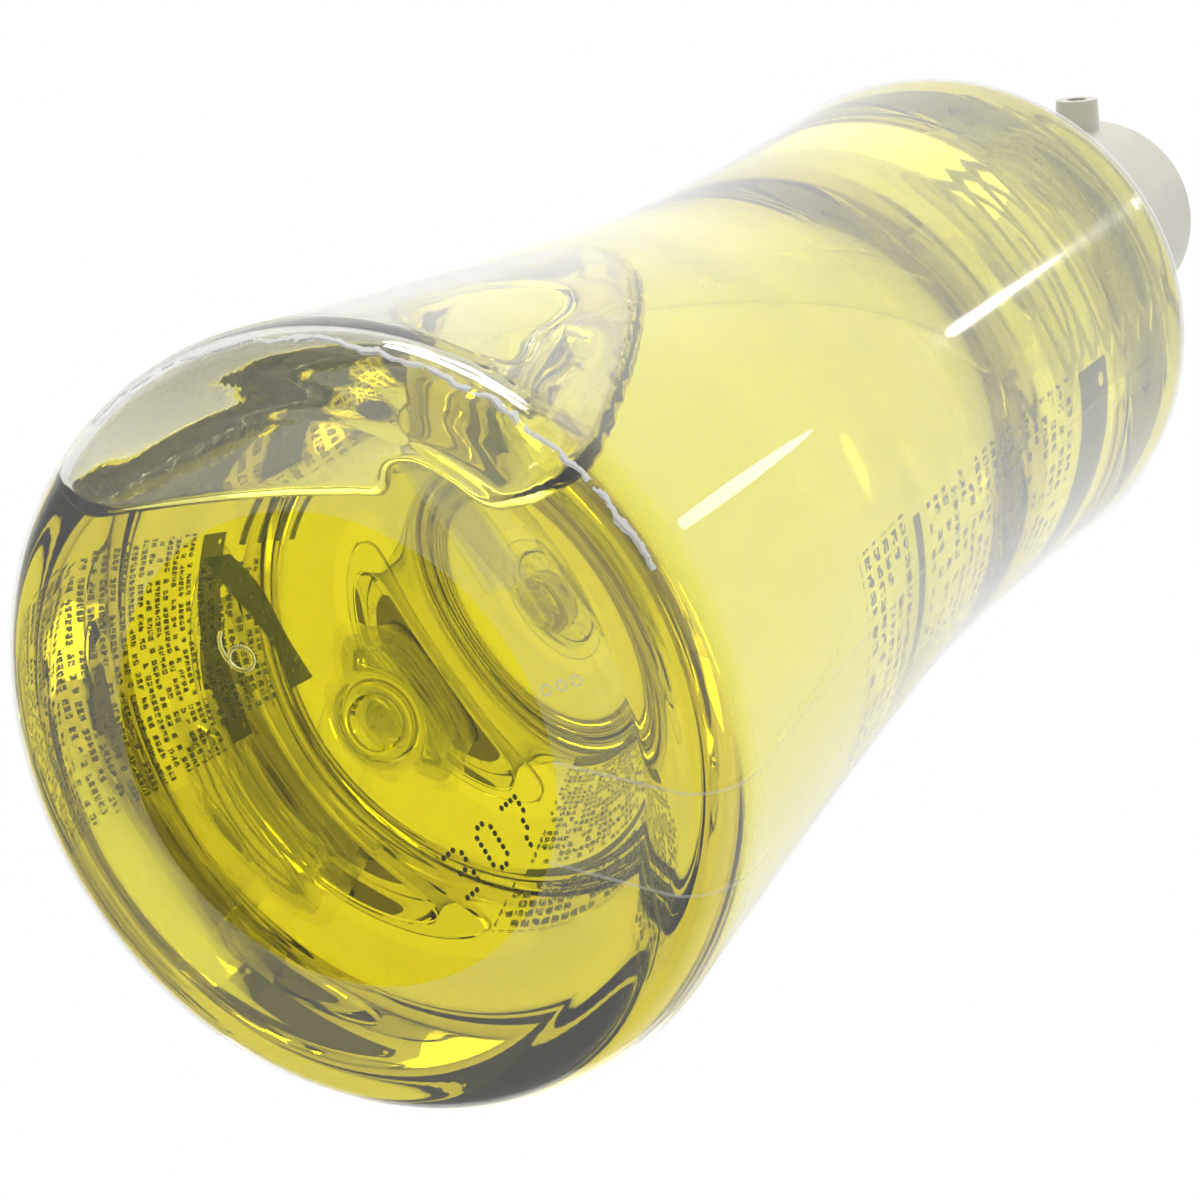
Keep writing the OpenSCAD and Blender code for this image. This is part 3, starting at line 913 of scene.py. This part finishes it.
# %% [markdown]
# The stage is a pale floor. The photograph was taken from below the base, so the floor shows to the camera
# from above only, and no lamp, mirror or glass meets it.

# %% Floor
FLOOR_SIZE = 4.0


def pale_floor():
    made = recipe("pale_floor")
    tone = made.noise(40.0, detail=2.0).ramp(0.3, 0.7, 0.0, 1.0)
    darker, paler = (0.82, 0.82, 0.81, 1), (0.86, 0.86, 0.85, 1)
    shade = made.node("Mix", {"data_type": "RGBA"}, {0: tone, 6: darker, 7: paler}, out=2)
    solid = made.node("BsdfPrincipled", sockets={"Base Color": shade, "Roughness": 0.6})
    below = made.node("NewGeometry", out="Backfacing")
    seen = made.node("LightPath", out="Is Camera Ray") * (1 - below)
    return made.surface(made.mix(seen, made.node("BsdfTransparent"), solid))


clear_selection()
bpy.ops.mesh.primitive_plane_add(size=FLOOR_SIZE, location=(0, 0, 0))
floor = bpy.context.object
floor.name = "floor"
dress(floor, pale_floor())

# %% [markdown]
# The world is white to the camera and white through glass, as a light tent is. What mirrors show of it is
# darker below, which keeps the film's gloss from washing out. The key lamp is long and thin for the heel's
# bright line, which the heel's film material also paints in white as a painted highlight, and the small lamp
# overhead makes the broken streak along the upper side.

# %% World and lamps
LOW_MIRRORED, LOW_THROUGH, AMBIENT = 0.5, 0.85, 0.6


def mirrored_ray(made):
    """1 for a ray that a glossy surface has just thrown back, and 0 for one that passed through glass."""
    return made.node("LightPath", out="Is Glossy Ray") * made.node("LightPath", out="Is Reflection Ray")


world = bpy.data.worlds.new("studio")
bpy.context.scene.world = world
sky = Recipe(world)
ray = sky.node("LightPath", out="Is Camera Ray")
mirrored = mirrored_ray(sky)
through = sky.node("LightPath", out="Is Transmission Ray")
height = sky.node("SeparateXYZ", sockets={0: sky.node("TexCoord", out="Generated")}, out=2)
in_gloss = height.ramp(-0.25, 0.3, LOW_MIRRORED, 1.0)
in_glass = height.ramp(-0.6, 0.2, LOW_THROUGH, 1.0)
strength = ray.most(mirrored * in_gloss + through * in_glass + (1 - mirrored.most(through)) * AMBIENT)
background = sky.node("Background", sockets={"Color": (1, 1, 1, 1), "Strength": strength})
sky.tree.links.new(background.socket, sky.tree.nodes.new("ShaderNodeOutputWorld").inputs["Surface"])


def lamp(name, place, aim, width, length, watts, shape="RECTANGLE"):
    """A soft lamp, in metres, turned to face a point."""
    light = bpy.data.lights.new(name, "AREA")
    light.shape = shape
    light.size, light.size_y = width, length
    light.energy = watts
    made = bpy.data.objects.new(name, light)
    bpy.context.scene.collection.objects.link(made)
    turn = (Vector(aim) - Vector(place)).to_track_quat("-Z", "Y").to_matrix().to_4x4()
    made.matrix_world = Matrix.Translation(place) @ turn
    return made


MIDDLE = (0, 0, 0.09)
lamp("key_lamp", (0.6, -0.5, 0.5), MIDDLE, 0.5, 0.08, 3.0)
lamp("fill_lamp", (-0.7, 0.2, 0.3), MIDDLE, 0.6, 0.6, 2.0)
lamp("streak_lamp", (0.31, 0.127, 0.83), MIDDLE, 0.03, 0.06, 0.025, shape="ELLIPSE")

# %% [markdown]
# A bottle of oil in a film has many clear walls one behind the other, so rays get more steps than usual.
# Smooth places may end early, at a noise that the denoiser takes away.

# %% Ray steps
cycles = bpy.context.scene.cycles
cycles.max_bounces = 24
cycles.transmission_bounces = 24
cycles.transparent_max_bounces = 64
cycles.diffuse_bounces = 1
cycles.adaptive_threshold = 0.2
world.cycles.sampling_method = "NONE"

# %% Finish
bpy.context.scene.view_settings.view_transform = "Standard"
clear_selection()
